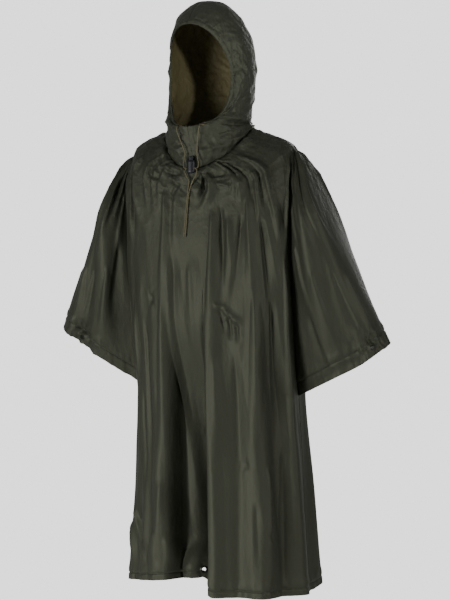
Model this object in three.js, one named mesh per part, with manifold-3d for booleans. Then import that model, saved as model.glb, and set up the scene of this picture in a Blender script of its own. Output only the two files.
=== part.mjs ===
// A hooded rain poncho of thin coated nylon, hollow and standing as it is worn.
// Millimetres. +Z is up, the front faces -Y, and +X is the wearer's left.
// The origin is at the base of the neck, midway between the shoulders, where a wearer carries it.
import * as THREE from "three";
import { mergeVertices } from "three/addons/utils/BufferGeometryUtils.js";
import Module from "manifold-3d";

const wasm = await Module();
wasm.setup();

const CLOTH = 2; // thickness of a cloth wall
const SEAM = 0.3; // gap left between two pieces at a seam
const DEG = Math.PI / 180;

const HEM_Z = -1165; // the hem of the front and back panels
const BACK_RISE = 34; // how much higher the hem hangs at the back
const SHOULDER_Z = -20; // the end of the shoulder seam, where the armhole starts
const UNDERARM_Z = { left: -660, right: -640 }; // the bottom of each armhole
const ARMHOLE_HALF = 74; // half the width of the armhole, front to back
const CHEST_AT = 0.17; // share of the way down at which the yoke turns into the hanging skirt

// Half sizes of the body's level sections, from the shoulder end down to the hem.
// half: side to side. front, back: depth from the side line. middle: Y of the side line. swing: X of the centre.
const BODY_SECTIONS = [
  { z: -20, half: 220, front: 118, back: 82, middle: -16, swing: 0 },
  { z: -90, half: 226, front: 136, back: 112, middle: -12, swing: 0 },
  { z: -240, half: 228, front: 151, back: 133, middle: -4, swing: 0 },
  { z: -420, half: 226, front: 157, back: 142, middle: 0, swing: 0 },
  { z: -650, half: 220, front: 161, back: 146, middle: 4, swing: 2 },
  { z: -900, half: 230, front: 171, back: 158, middle: 8, swing: 8 },
  { z: -1170, half: 249, front: 186, back: 172, middle: 10, swing: 10 },
];

// The folds that hang from the yoke. angle: round the body from centre front, + towards the wearer's left.
// lean: how far the fold drifts by the hem. wide: degrees. rise: mm at the hem. starts: Z of its upper end.
const FOLDS = [
  { angle: -70, lean: 3, wide: 8, rise: 13, starts: -260 },
  { angle: -47, lean: 3, wide: 5, rise: 8, starts: -330 },
  { angle: -28, lean: -2, wide: 8, rise: 17, starts: -180 },
  { angle: -11, lean: -3, wide: 7, rise: 8, starts: -170 },
  { angle: 8, lean: 0, wide: 5, rise: 13, starts: -200 },
  { angle: 20, lean: 4, wide: 5, rise: -9, starts: -240 },
  { angle: 37, lean: 2, wide: 9, rise: 17, starts: -170 },
  { angle: 55, lean: 3, wide: 7, rise: -11, starts: -230 },
  { angle: 72, lean: 4, wide: 8, rise: 14, starts: -260 },
  { angle: 90, lean: 0, wide: 8, rise: -8, starts: -700 },
  { angle: 108, lean: 0, wide: 9, rise: 16, starts: -300 },
  { angle: 127, lean: 3, wide: 7, rise: -9, starts: -260 },
  { angle: 143, lean: 2, wide: 9, rise: 18, starts: -180 },
  { angle: 163, lean: 0, wide: 7, rise: -10, starts: -220 },
  { angle: 179, lean: -2, wide: 9, rise: 15, starts: -200 },
  { angle: 197, lean: -1, wide: 7, rise: -10, starts: -200 },
  { angle: 214, lean: -3, wide: 9, rise: 18, starts: -170 },
  { angle: 232, lean: -2, wide: 7, rise: -9, starts: -240 },
  { angle: 250, lean: 0, wide: 9, rise: 15, starts: -280 },
  { angle: 269, lean: 0, wide: 8, rise: -7, starts: -700 },
];

// The lap beside centre front: the cloth on the wearer's right of it hangs back behind the rest.
// lift: how much higher the hem is in the lap, and on that whole side.
const LAP = { angle: 3.2, wide: 2.4, deep: 92, fades: 24, starts: -330, lift: 8, side: 30, spread: 75 };

// The neck seam, an oval that dips at the front.
const NECK = { half: 119, front: 114, back: 108, middle: -30, swing: -10, z: 34, dip: 106, nape: 8 };

// The arms hang a little away from the body: the outer end of each cuff, and the outward roundness of the shoulder.
const ARM = {
  left: { x: 463, y: 14, z: -520 },
  right: { x: 460, y: 14, z: -480 },
};
const SHOULDER_TILT = 0.4; // the wearer's left shoulder falls off straighter than the right one
const SHOULDER_ROUND = { left: 26, right: 44 }; // how far the shoulder rounds out of a straight line
const SHOULDER_FADE = { left: 1.6, right: 2.4 }; // and how fast that dies away down the arm
const CUFF_DROP = { left: 0.035, right: 0 }; // share of its length by which the front of a sleeve is longer
const SLEEVE_FULL = 74; // how thick the arm makes the sleeve, to each side

// Soft folds that run down each sleeve. at: share of the way round from the front of the armhole to the back.
const SLEEVE_FOLDS = [
  { at: 0.13, wide: 0.05, rise: 9 },
  { at: 0.24, wide: 0.045, rise: -8 },
  { at: 0.35, wide: 0.05, rise: 7 },
  { at: 0.63, wide: 0.05, rise: 8 },
  { at: 0.75, wide: 0.05, rise: -7 },
  { at: 0.87, wide: 0.05, rise: 8 },
];

// The hood. Each half runs from the face opening to the centre back, and from the neck seam up to the crown seam,
// through a ring at the chin and a ring at the cheeks. front, back: Y at the centre line. tall: Z there.
const HOOD_TURN = -6; // the head looks a little to the wearer's right
const CHIN_RING = { half: 111, middle: -45, front: -166, back: 66, frontZ: 34, backZ: 84 };
const CHEEK_RING = { half: 117, middle: -52, back: 78, frontZ: 150, backZ: 216 };
const CHEEK = { x: 88, y: -106 }; // the side of the face opening, on the cheek ring
const CROWN = { middle: -56, front: 144, back: 134, z: 200, tall: 171, from: -57, to: 65 }; // the seam over the head
const CHIN_AT = 0.2; // shares of the way up at which the chin ring and the cheek ring lie
const CHEEK_AT = 0.52;
// The cord's tunnel, from beside the chin up. wide: share of the way from the face opening to the centre back.
const CASING = { wide: 0.043, thick: 1.6, off: 0.5, from: 0.25 };

const CORD_R = 1.4;
const LOCK = { x: -12, y: -160.5, z: -68, half: 11.5, deep: 8.8, up: 15, down: 18.5 }; // the lock's barrel, about its middle
const LOCK_BORE = { r: 6.3, floor: -15.4 }; // the plunger's bore, open at the top
const LOCK_HOLE = { z: -6, tall: 2, deep: 3.7, corner: 1.8 }; // the hole through, side to side, with half its sizes
const PLUNGER = { r: 6, top: 24, bottom: -11, cap: 7.6, press: 4 };

const EYELET = { angle: -2.045, half: 2.045, up: 26, hole: 5.5, flange: 10, lip: 1.1 }; // the tarp eyelet in the front hem
const SNAP = { r: 6.5, tall: 2.6 };
const SLEEVE_COLUMNS = 26;
const STUDS = { left: { column: 9, down: 0.965, off: 0.9 }, right: { column: 6, down: 0.965, off: 1 } }; // on the sleeve's own columns
const CORD_STEPS = 60;
const CROSS_GAP = 1.75; // half the distance between the two cords in the lock, front to back
const TAIL_GAP = 1.9; // half the distance between the two tails

// The cord's way: from where it leaves the tunnel, through the lock, round under it and down to its free end.
const CORD_ROUTE = [
  { from: "exit", x: 0, y: -4, z: -2 },
  { from: "exit", x: 0, y: -11, z: -12 },
  { from: "lock", x: 16, z: 30 },
  { from: "lock", x: 20, z: 6 },
  { from: "lock", x: 18, z: -4 },
  { from: "lock", x: 12.5, z: -6 },
  { from: "lock", x: 0, z: -6 },
  { from: "lock", x: -12.5, z: -6 },
  { from: "lock", x: -17, z: -13 },
  { from: "lock", x: -14, z: -25 },
  { from: "lock", x: -7, z: -36 },
  { from: "tail", x: -21, y: -156, z: -135 },
  { from: "tail", x: -26, y: -157, z: -185 },
  { from: "tail", x: -30, y: -160, z: -249 },
];

const material = (color, roughness, metalness) => new THREE.MeshStandardMaterial({ color, roughness, metalness });
const NYLON = material(0x3b3c31, 0.5, 0);
const NYLON_DARK = material(0x33342b, 0.5, 0);
const CORD_MATERIAL = material(0x6f6a4a, 0.8, 0);
const PLASTIC = material(0x17171c, 0.4, 0);
const STEEL = material(0x24251f, 0.35, 1);

// Helpers on numbers and tables.
const lerp = (a, b, t) => a + (b - a) * t;
const clamp01 = (t) => Math.min(1, Math.max(0, t));
const ease = (t) => clamp01(t) ** 2 * (3 - 2 * clamp01(t));
const power = (value, p) => Math.sign(value) * Math.abs(value) ** p;
const bump = (t) => Math.exp(-t * t);

// A smooth curve from a to b that starts and ends with the given slopes.
function hermite(a, b, startSlope, endSlope, t) {
  return (
    (2 * t ** 3 - 3 * t ** 2 + 1) * a +
    (t ** 3 - 2 * t ** 2 + t) * startSlope +
    (-2 * t ** 3 + 3 * t ** 2) * b +
    (t ** 3 - t ** 2) * endSlope
  );
}

// The value of a table's column at a place between its rows, on a smooth curve through them.
function column(rows, by, key, place) {
  const up = rows[0][by] < rows[rows.length - 1][by];
  let i = 0;
  while (i < rows.length - 2 && (up ? place > rows[i + 1][by] : place < rows[i + 1][by])) i += 1;
  const slope = (k) => {
    const a = rows[Math.max(0, k - 1)];
    const b = rows[Math.min(rows.length - 1, k + 1)];
    return (b[key] - a[key]) / (b[by] - a[by]);
  };
  const from = rows[i];
  const to = rows[i + 1];
  const span = to[by] - from[by];
  const t = clamp01((place - from[by]) / span);
  return hermite(from[key], to[key], slope(i) * span, slope(i + 1) * span, t);
}

// Degrees from one place round the body to another, the short way.
const apart = (a, b) => ((((a - b + 180) % 360) + 360) % 360) - 180;
const sideOf = (angle) => (apart(angle, 0) >= 0 ? "left" : "right");

// The body: level sections below, and a yoke that domes up to the neck seam.

// How far the armhole's edge stands from the side line at a height.
function armholeAt(z, side) {
  const share = (SHOULDER_Z - z) / (SHOULDER_Z - UNDERARM_Z[side]);
  if (share <= 0 || share >= 1) return 0;
  return ARMHOLE_HALF * Math.sin(Math.PI * share ** 0.6) ** 0.8;
}

// How far the folds and the lap move the cloth outwards.
function foldAt(angle, z) {
  let out = 0;
  for (const fold of FOLDS) {
    const down = ease((fold.starts - z) / (fold.starts - HEM_Z + 1));
    const strength = ease((fold.starts - z) / 260) * (0.35 + 0.65 * down);
    out += fold.rise * strength * bump(apart(angle, fold.angle + fold.lean * down) / fold.wide);
  }
  return out - LAP.deep * lapAt(angle) * ease((LAP.starts - z) / (LAP.starts - HEM_Z)) ** 1.2;
}

// 0 on the wearer's left of the lap, 1 just behind it, fading out towards the wearer's right.
function lapAt(angle) {
  const behind = LAP.angle - apart(angle, 0);
  if (behind < -LAP.wide) return 0;
  return ease((behind + LAP.wide) / (2 * LAP.wide)) * Math.exp(-Math.max(0, behind) / LAP.fades);
}

function hemAt(angle) {
  const behind = LAP.angle - apart(angle, 0);
  const side = behind < 0 ? 0 : ease(behind / 6) * Math.exp(-((behind / LAP.spread) ** 2));
  const atBack = BACK_RISE * ease(-Math.cos(angle * DEG) / 0.8);
  return HEM_Z + LAP.lift * lapAt(angle) + LAP.side * side + atBack;
}

// A point of the level section at a height. back says which half is meant, at the armhole too.
function sectionPoint(angle, z, back) {
  const at = (key) => column(BODY_SECTIONS, "z", key, z);
  const armhole = armholeAt(z, sideOf(angle));
  const depth = back ? at("back") : at("front");
  const round = 0.86;
  const across = Math.sin(angle * DEG);
  const ahead = Math.abs(Math.cos(angle * DEG));
  const out = foldAt(angle, z);
  const reach = armhole + (depth - armhole) * ahead ** round + out * ahead;
  return new THREE.Vector3(
    at("swing") + at("half") * power(across, round) + out * across,
    at("middle") + (back ? reach : -reach),
    z,
  );
}

function neckPoint(angle) {
  const ahead = Math.cos(angle * DEG);
  const y = NECK.middle - ahead * (ahead > 0 ? NECK.front : NECK.back);
  const z = NECK.z - NECK.dip * Math.max(0, ahead) ** 1.5 + NECK.nape * Math.max(0, -ahead) ** 1.5;
  return new THREE.Vector3(NECK.swing + NECK.half * Math.sin(angle * DEG), y, z);
}

// The height at which the yoke meets the hanging cloth.
function chestZ(angle) {
  const ahead = Math.cos(angle * DEG);
  return SHOULDER_Z - (ahead > 0 ? 122 : 110) * Math.abs(ahead) ** 1.4;
}

// The body's outer surface. v runs from 0 at the neck seam to 1 at the hem.
function bodyPoint(angle, v, back) {
  const chest = chestZ(angle);
  if (v >= CHEST_AT) return sectionPoint(angle, lerp(chest, hemAt(angle), (v - CHEST_AT) / (1 - CHEST_AT)), back);
  const w = v / CHEST_AT;
  const neck = neckPoint(angle);
  const end = sectionPoint(angle, chest, back);
  const out = Math.sin((w * Math.PI) / 2);
  const straight = 0.5 + SHOULDER_TILT * Math.sin(angle * DEG);
  const fall = lerp(1 - Math.cos((w * Math.PI) / 2), w, straight);
  return new THREE.Vector3(lerp(neck.x, end.x, out), lerp(neck.y, end.y, out), lerp(neck.z, end.z, fall));
}

// The sleeves: each is one wide piece, from the front of the armhole round the arm to the back of it.
// The front of the left cuff is cut a little lower than the back.
function sleevePoint(side, around, along) {
  const sign = side === "left" ? 1 : -1;
  const down = along * (1 + CUFF_DROP[side] * Math.sin(2 * Math.PI * Math.min(0.5, around)));
  const z = lerp(SHOULDER_Z, UNDERARM_Z[side], down ** 0.9);
  const front = sectionPoint(90 * sign, z, false);
  const rear = sectionPoint(90 * sign, z, true);
  const centre = front.clone().add(rear).multiplyScalar(0.5);
  const tip = ARM[side];
  const start = sectionPoint(90 * sign, SHOULDER_Z, false);
  const round = SHOULDER_ROUND[side] * (1 - Math.exp(-20 * down)) * Math.max(0, 1 - down) ** SHOULDER_FADE[side];
  const outer = new THREE.Vector3(
    lerp(start.x, sign * tip.x, down) + sign * round,
    lerp(start.y, tip.y, down),
    lerp(SHOULDER_Z, tip.z, down) + 0.3 * round,
  );
  const turn = Math.PI * around;
  const full = (front.distanceTo(rear) / 2) + 1.7 * SLEEVE_FULL * Math.sin(turn) * ease(down / 0.35);
  const point = centre.clone().addScaledVector(outer.clone().sub(centre), Math.sin(turn) ** 0.92);
  point.y -= Math.cos(turn) * full;
  for (const fold of SLEEVE_FOLDS) {
    const lift = fold.rise * ease((down - 0.12) / 0.5) * bump((around - fold.at) / fold.wide);
    point.y -= Math.sign(0.5 - around) * lift;
  }
  return point;
}

// The hood: each half is drawn through its neck seam, chin ring, cheek ring and crown seam.
function hoodRaw(sign, u, v) {
  const turn = 180 * u;
  const ahead = Math.cos(turn * DEG);
  const neck = neckPoint(sign * turn);
  neck.x -= NECK.swing;
  const chin = new THREE.Vector3(
    sign * CHIN_RING.half * Math.sin(turn * DEG),
    CHIN_RING.middle + ahead * (ahead > 0 ? CHIN_RING.front - CHIN_RING.middle : CHIN_RING.middle - CHIN_RING.back),
    lerp(CHIN_RING.frontZ, CHIN_RING.backZ, (1 - ahead) / 2),
  );
  const first = Math.asin(CHEEK.x / CHEEK_RING.half);
  const round = lerp(first, Math.PI, u);
  const forward = (CHEEK_RING.middle - CHEEK.y) / Math.cos(first);
  const level = Math.cos(round);
  const cheek = new THREE.Vector3(
    sign * CHEEK_RING.half * Math.sin(round),
    CHEEK_RING.middle - level * (level > 0 ? forward : CHEEK_RING.back - CHEEK_RING.middle),
    lerp(CHEEK_RING.frontZ, CHEEK_RING.backZ, (1 - level) / 2),
  );
  const over = lerp(CROWN.from, CROWN.to, u) * DEG;
  const crown = new THREE.Vector3(
    0,
    CROWN.middle + Math.sin(over) * (over < 0 ? CROWN.front : CROWN.back),
    CROWN.z + CROWN.tall * Math.cos(over),
  );
  // Smooth from ring to ring, but straight up the chin seam and turning sharply out of it at the face opening.
  const away = ease(u / 0.4);
  const along = lerp(0.08, 1, away);
  const point = new THREE.Vector3();
  for (const axis of ["x", "y", "z"]) {
    const neckSlope = (chin[axis] - neck[axis]) / CHIN_AT;
    const chinSlope = lerp(neckSlope, (cheek[axis] - neck[axis]) / CHEEK_AT, away);
    const cheekSlope = axis === "z" ? ((crown.z - cheek.z) * Math.PI) / 2 / (1 - CHEEK_AT) : 0;
    if (v < CHIN_AT) {
      point[axis] = hermite(neck[axis], chin[axis], neckSlope * CHIN_AT, chinSlope * CHIN_AT, v / CHIN_AT);
    } else if (v < CHEEK_AT) {
      const span = CHEEK_AT - CHIN_AT;
      const t = (v - CHIN_AT) / span;
      const arc = (t * Math.PI) / 2;
      const turned = {
        x: Math.sin(arc) ** lerp(0.8, 1, away),
        y: Math.sin(arc) ** 1.3,
        z: (1 - Math.cos(arc)) ** lerp(1.4, 1, away),
      }[axis];
      const smooth = hermite(chin[axis], cheek[axis], chinSlope * span, cheekSlope * span, t);
      point[axis] = lerp(lerp(chin[axis], cheek[axis], turned), smooth, along);
    } else {
      const arc = (((v - CHEEK_AT) / (1 - CHEEK_AT)) * Math.PI) / 2;
      const share = { x: 1 - Math.cos(arc) ** 0.9, y: Math.sin(arc) ** 2, z: Math.sin(arc) }[axis];
      point[axis] = lerp(cheek[axis], crown[axis], share);
    }
  }
  return point;
}

// A hood point kept on its own side of the centre seam, and turned about the neck, more so above the seam.
function hoodTurned(sign, point, v) {
  const turn = HOOD_TURN * DEG * ease(v / 0.22);
  const x = sign * Math.max(sign * point.x, SEAM / 2) + NECK.swing * (1 - ease(v / 0.5));
  const y = point.y - NECK.middle;
  return new THREE.Vector3(
    x * Math.cos(turn) - y * Math.sin(turn),
    NECK.middle + x * Math.sin(turn) + y * Math.cos(turn),
    point.z,
  );
}

// Solids from surfaces.

// The outward normal of a surface at (u, v). flip turns it round for a surface whose u runs the other way.
function normalAt(surface, u, v, flip) {
  const step = 1e-3;
  const along = surface(u + step, v).sub(surface(u - step, v));
  const down = surface(u, v + step).sub(surface(u, v - step));
  const normal = down.cross(along).normalize();
  return flip ? normal.negate() : normal;
}

// A closed wall between two copies of a surface, near and far from it along its normal.
function wall(surface, us, vs, far, near, flip = false, place = (point) => point) {
  const points = [];
  const faces = [];
  const wide = us.length;
  for (const offset of [far, near]) {
    for (const v of vs) {
      for (const u of us) {
        const inU = Math.min(us[wide - 1] - 2e-3, Math.max(us[0] + 2e-3, u));
        const inV = Math.min(vs[vs.length - 1] - 2e-3, Math.max(vs[0] + 2e-3, v));
        const normal = normalAt(surface, inU, inV, flip);
        points.push(...place(surface(u, v).addScaledVector(normal, offset), v).toArray());
      }
    }
  }
  const sheet = wide * vs.length;
  const quad = (a, b, c, d) => faces.push(...(flip ? [a, b, c, b, d, c] : [a, c, b, b, c, d]));
  const spot = (layer, row, col) => layer * sheet + row * wide + col;
  for (let r = 0; r < vs.length - 1; r += 1) {
    for (let c = 0; c < wide - 1; c += 1) {
      quad(spot(0, r, c), spot(0, r, c + 1), spot(0, r + 1, c), spot(0, r + 1, c + 1));
      quad(spot(1, r, c), spot(1, r + 1, c), spot(1, r, c + 1), spot(1, r + 1, c + 1));
    }
    quad(spot(1, r, 0), spot(0, r, 0), spot(1, r + 1, 0), spot(0, r + 1, 0));
    quad(spot(0, r, wide - 1), spot(1, r, wide - 1), spot(0, r + 1, wide - 1), spot(1, r + 1, wide - 1));
  }
  const last = vs.length - 1;
  for (let c = 0; c < wide - 1; c += 1) {
    quad(spot(1, 0, c), spot(1, 0, c + 1), spot(0, 0, c), spot(0, 0, c + 1));
    quad(spot(0, last, c), spot(0, last, c + 1), spot(1, last, c), spot(1, last, c + 1));
  }
  const geometry = new THREE.BufferGeometry();
  geometry.setAttribute("position", new THREE.Float32BufferAttribute(points, 3));
  geometry.setIndex(faces);
  return closed(geometry);
}

// The geometry with shared vertices merged and the faces that collapse at a tip left out.
function closed(geometry) {
  geometry.deleteAttribute("normal");
  geometry.deleteAttribute("uv");
  const merged = mergeVertices(geometry, 1e-3);
  const index = merged.index.array;
  const kept = [];
  for (let i = 0; i < index.length; i += 3) {
    const [a, b, c] = index.slice(i, i + 3);
    if (a !== b && b !== c && c !== a) kept.push(a, b, c);
  }
  merged.setIndex(kept);
  return merged;
}

function solid(geometry) {
  const clean = closed(geometry.clone());
  return new wasm.Manifold(
    new wasm.Mesh({
      numProp: 3,
      vertProperties: new Float32Array(clean.attributes.position.array),
      triVerts: new Uint32Array(clean.index.array),
    }),
  );
}

function geometryOf(manifold) {
  const mesh = manifold.getMesh();
  const geometry = new THREE.BufferGeometry();
  geometry.setAttribute("position", new THREE.BufferAttribute(new Float32Array(mesh.vertProperties), 3));
  geometry.setIndex(new THREE.BufferAttribute(new Uint32Array(mesh.triVerts), 1));
  return geometry;
}

// Even steps from a to b, and a list with extra steps added where the cloth turns sharply.
const steps = (count, a, b) => Array.from({ length: count + 1 }, (_, i) => lerp(a, b, i / count));
const withExtra = (list, extra) => [...new Set([...list, ...extra])].sort((a, b) => a - b);

const poncho = new THREE.Group();
const add = (name, geometry, look, parent = poncho) => {
  const mesh = new THREE.Mesh(geometry, look);
  mesh.name = name;
  parent.add(mesh);
  return mesh;
};

// A lathe profile stood on a point, with its axis along a direction.
function stand(geometry, point, direction) {
  const turn = new THREE.Quaternion().setFromUnitVectors(new THREE.Vector3(0, 1, 0), direction);
  return geometry.applyQuaternion(turn).translate(point.x, point.y, point.z);
}

const ring = (profile, sides) =>
  new THREE.LatheGeometry(
    [...profile, profile[0]].map(([r, y]) => new THREE.Vector2(r, y)),
    sides,
  );

// Front and back panels: one wide piece each, seamed at the shoulders and down the sides.
const EDGE = 0.04; // degrees short of the side line, which leaves the seam's gap
const panelRows = withExtra(steps(5, 0.0006, CHEST_AT), steps(10, CHEST_AT, 1));
const skirt = (chestZ(EYELET.angle) - hemAt(EYELET.angle)) / (1 - CHEST_AT); // mm of panel for each unit of v
const frontRows = withExtra(panelRows, [1 - (2 * EYELET.up) / skirt]);
const frontColumns = withExtra(steps(44, -90 + EDGE, 90 - EDGE), [0.8, 2, 3.2, 4.4, 5.6, 10]);
const backColumns = steps(46, 90 + EDGE, 270 - EDGE);
const front = (u, v) => bodyPoint(u, v, false);
const back = (u, v) => bodyPoint(u, v, true);

// The eyelet is seated in the middle of a facet of the front, between two of its columns.
const eyeletAt = 1 - EYELET.up / skirt;
const eyeletSides = [-1, 1].map((sign) => front(EYELET.angle + sign * EYELET.half, eyeletAt));
const eyeletPoint = eyeletSides[0].clone().add(eyeletSides[1]).multiplyScalar(0.5);
const eyeletNormal = normalAt(front, EYELET.angle, eyeletAt);
const drill = stand(new THREE.CylinderGeometry(EYELET.hole + 0.9, EYELET.hole + 0.9, 30, 20), eyeletPoint, eyeletNormal);
const frontWall = solid(wall(front, frontColumns, frontRows, 0, -CLOTH)).subtract(solid(drill));
add("front_panel", geometryOf(frontWall), NYLON);
add("back_panel", wall(back, backColumns, panelRows, 0, -CLOTH), NYLON_DARK);

// The eyelet in the front hem: a rolled steel tube with a flange on each face of the cloth.
const barrel = EYELET.hole + 0.6;
const outer = EYELET.lip;
const inner = -CLOTH - EYELET.lip;
const eyeletRing = ring(
  [
    [EYELET.hole, inner - 0.4],
    [EYELET.flange - 1, inner - 0.4],
    [EYELET.flange, inner + 0.2],
    [barrel, inner + 0.2],
    [barrel, outer - 0.2],
    [EYELET.flange, outer - 0.2],
    [EYELET.flange - 1, outer + 0.4],
    [EYELET.hole, outer + 0.4],
  ],
  20,
);
add("hem_eyelet", stand(eyeletRing, eyeletPoint, eyeletNormal), STEEL);

// Sleeves, each with a press stud near the outer end of its cuff.
const studProfile = [
  [0.01, 0],
  [SNAP.r, 0],
  [SNAP.r, 0.8],
  [SNAP.r - 1, 1.4],
  [SNAP.r - 2.2, SNAP.tall],
  [0.01, SNAP.tall],
];
for (const side of ["left", "right"]) {
  const surface = (u, v) => sleevePoint(side, u, v);
  const flip = side === "right";
  const { column: stud, down, off } = STUDS[side];
  const columns = steps(SLEEVE_COLUMNS, 0.004, 0.996);
  const around = columns[stud];
  const sleeveRows = withExtra(steps(10, 0.02, 1), [0.003, 0.008, 0.055, down]);
  add(`sleeve_${side}`, wall(surface, columns, sleeveRows, 0, -CLOTH, flip), NYLON);
  const normal = normalAt(surface, around, down, flip);
  const seat = surface(around, down).addScaledVector(normal, off);
  add(`cuff_stud_${side}`, stand(ring(studProfile, 16), seat, normal), STEEL);
}

// Hood halves, with the tunnel for the cord laid on them round the face opening.
for (const [side, sign] of [["left", 1], ["right", -1]]) {
  const surface = (u, v) => hoodRaw(sign, u, v);
  const place = (point, v) => hoodTurned(sign, point, v);
  const flip = side === "left";
  const hoodRows = withExtra(steps(15, 0.0008, 0.999), [CHIN_AT, CASING.from, 0.3]);
  const hoodColumns = withExtra(steps(15, 0, 1), [CASING.wide]);
  add(`hood_${side}`, wall(surface, hoodColumns, hoodRows, 0, -CLOTH, flip, place), NYLON);
  const stripRows = hoodRows.filter((v) => v >= CASING.from);
  const lie = CASING.off + CASING.thick;
  const strip = wall(surface, [0, CASING.wide], stripRows, lie, CASING.off, flip, place);
  add(`hood_casing_${side}`, strip, NYLON_DARK);
}

// The cord lock: an oval barrel with a sprung plunger in it, both pierced side to side for the cord.
const oval = (points, sides) => ring(points, sides).scale(1, 1, LOCK.deep / LOCK.half);
const shell = oval(
  [
    [0.01, -LOCK.down],
    [LOCK.half - 3, -LOCK.down],
    [LOCK.half - 0.8, -LOCK.down + 2],
    [LOCK.half, -LOCK.down + 6],
    [LOCK.half, LOCK.up - 5],
    [LOCK.half - 1.5, LOCK.up - 1],
    [LOCK.half - 3, LOCK.up],
    [0.01, LOCK.up],
  ],
  28,
);
const upright = (r, from, to, sides) => new THREE.CylinderGeometry(r, r, to - from, sides).translate(0, (from + to) / 2, 0);
const across = (tall, deep, z) => {
  const slot = new THREE.Shape();
  const r = LOCK_HOLE.corner;
  slot.absarc(deep - r, tall - r, r, 0, Math.PI / 2, false);
  slot.absarc(r - deep, tall - r, r, Math.PI / 2, Math.PI, false);
  slot.absarc(r - deep, r - tall, r, Math.PI, 1.5 * Math.PI, false);
  slot.absarc(deep - r, r - tall, r, 1.5 * Math.PI, 2 * Math.PI, false);
  slot.closePath();
  const bar = new THREE.ExtrudeGeometry(slot, { depth: 60, bevelEnabled: false, curveSegments: 4 });
  return bar.translate(0, 0, -30).rotateY(Math.PI / 2).translate(0, z, 0);
};
const bore = upright(LOCK_BORE.r, LOCK_BORE.floor, LOCK.up + 5, 24);
const lockHole = across(LOCK_HOLE.tall, LOCK_HOLE.deep, LOCK_HOLE.z);
const barrelSolid = solid(shell).subtract(solid(bore)).subtract(solid(lockHole));
const lockSpot = new THREE.Vector3(LOCK.x, LOCK.y, LOCK.z);
const UP = new THREE.Vector3(0, 0, 1);
add("cord_lock_barrel", stand(geometryOf(barrelSolid), lockSpot, UP), PLASTIC);

const plungerBody = ring(
  [
    [0.01, PLUNGER.bottom],
    [PLUNGER.r, PLUNGER.bottom],
    [PLUNGER.r, LOCK.up + PLUNGER.press + 0.4],
    [PLUNGER.cap, LOCK.up + PLUNGER.press + 1],
    [PLUNGER.cap, PLUNGER.top - 1.2],
    [PLUNGER.cap - 1.4, PLUNGER.top],
    [0.01, PLUNGER.top],
  ],
  24,
);
// The window's foot is just under the cord, and its head clears the cord with the plunger pressed.
const windowTall = LOCK_HOLE.tall + PLUNGER.press / 2;
const plungerWindow = across(windowTall, LOCK_HOLE.deep, LOCK_HOLE.z + PLUNGER.press / 2);
const plungerSolid = solid(plungerBody).subtract(solid(plungerWindow));
add("cord_lock_plunger", stand(geometryOf(plungerSolid), lockSpot, UP), PLASTIC);

// The drawcord: an end comes out of each end of the tunnel, crosses the lock, and hangs below it.
const chinExit = (sign) => {
  const v = CASING.from;
  const surface = (u, w) => hoodRaw(sign, u, w);
  const normal = normalAt(surface, CASING.wide / 2, v, sign > 0);
  return hoodTurned(sign, surface(CASING.wide / 2, v).addScaledVector(normal, CORD_R + CASING.off), v - 0.001);
};
for (const [side, sign] of [["left", 1], ["right", -1]]) {
  const exit = chinExit(sign);
  const points = CORD_ROUTE.map(({ x, y, z, from }) => {
    if (from === "exit") return new THREE.Vector3(exit.x + sign * x, exit.y + y, exit.z + z);
    if (from === "lock") return new THREE.Vector3(LOCK.x + sign * x, LOCK.y + sign * CROSS_GAP, LOCK.z + z);
    return new THREE.Vector3(x - sign * TAIL_GAP, y, z);
  });
  const curve = new THREE.CatmullRomCurve3(points, false, "centripetal");
  const round = new THREE.Shape();
  for (let i = 0; i < 8; i += 1) {
    const turn = (i / 8) * 2 * Math.PI;
    if (i === 0) round.moveTo(CORD_R, 0);
    else round.lineTo(CORD_R * Math.cos(turn), CORD_R * Math.sin(turn));
  }
  round.closePath();
  const cord = new THREE.ExtrudeGeometry(round, { steps: CORD_STEPS, bevelEnabled: false, extrudePath: curve });
  add(`drawcord_${side}`, closed(cord), CORD_MATERIAL);
}

export default poncho;
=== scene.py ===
"""A hooded rain poncho of thin coated nylon, hanging as it is worn, with its drawcord and sprung cord lock.

Metres in the frame of the CAD model: +Z up, the front faces -Y, +X is the wearer's left. The surfaces are
worked out in millimetres from the garment's own sizes, and each piece of cloth is a thin closed shell.
"""

import bpy
import numpy as np
from numpy.linalg import norm
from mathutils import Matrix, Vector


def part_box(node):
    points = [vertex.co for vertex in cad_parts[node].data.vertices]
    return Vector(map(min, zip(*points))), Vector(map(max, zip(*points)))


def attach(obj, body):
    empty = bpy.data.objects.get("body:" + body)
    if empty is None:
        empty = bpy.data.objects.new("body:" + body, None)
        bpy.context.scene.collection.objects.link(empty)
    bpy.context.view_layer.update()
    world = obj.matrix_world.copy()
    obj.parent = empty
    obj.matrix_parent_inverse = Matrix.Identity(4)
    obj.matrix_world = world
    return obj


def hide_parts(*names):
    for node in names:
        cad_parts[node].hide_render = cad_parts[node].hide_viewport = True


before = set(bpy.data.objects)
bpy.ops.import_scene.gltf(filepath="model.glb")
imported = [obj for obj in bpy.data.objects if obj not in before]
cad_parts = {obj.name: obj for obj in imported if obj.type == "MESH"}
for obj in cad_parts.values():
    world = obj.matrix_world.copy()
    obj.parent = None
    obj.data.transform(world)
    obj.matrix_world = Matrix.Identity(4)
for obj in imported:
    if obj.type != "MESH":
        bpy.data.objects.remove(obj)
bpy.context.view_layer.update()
scene = bpy.context.scene
MM = 0.001

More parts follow.
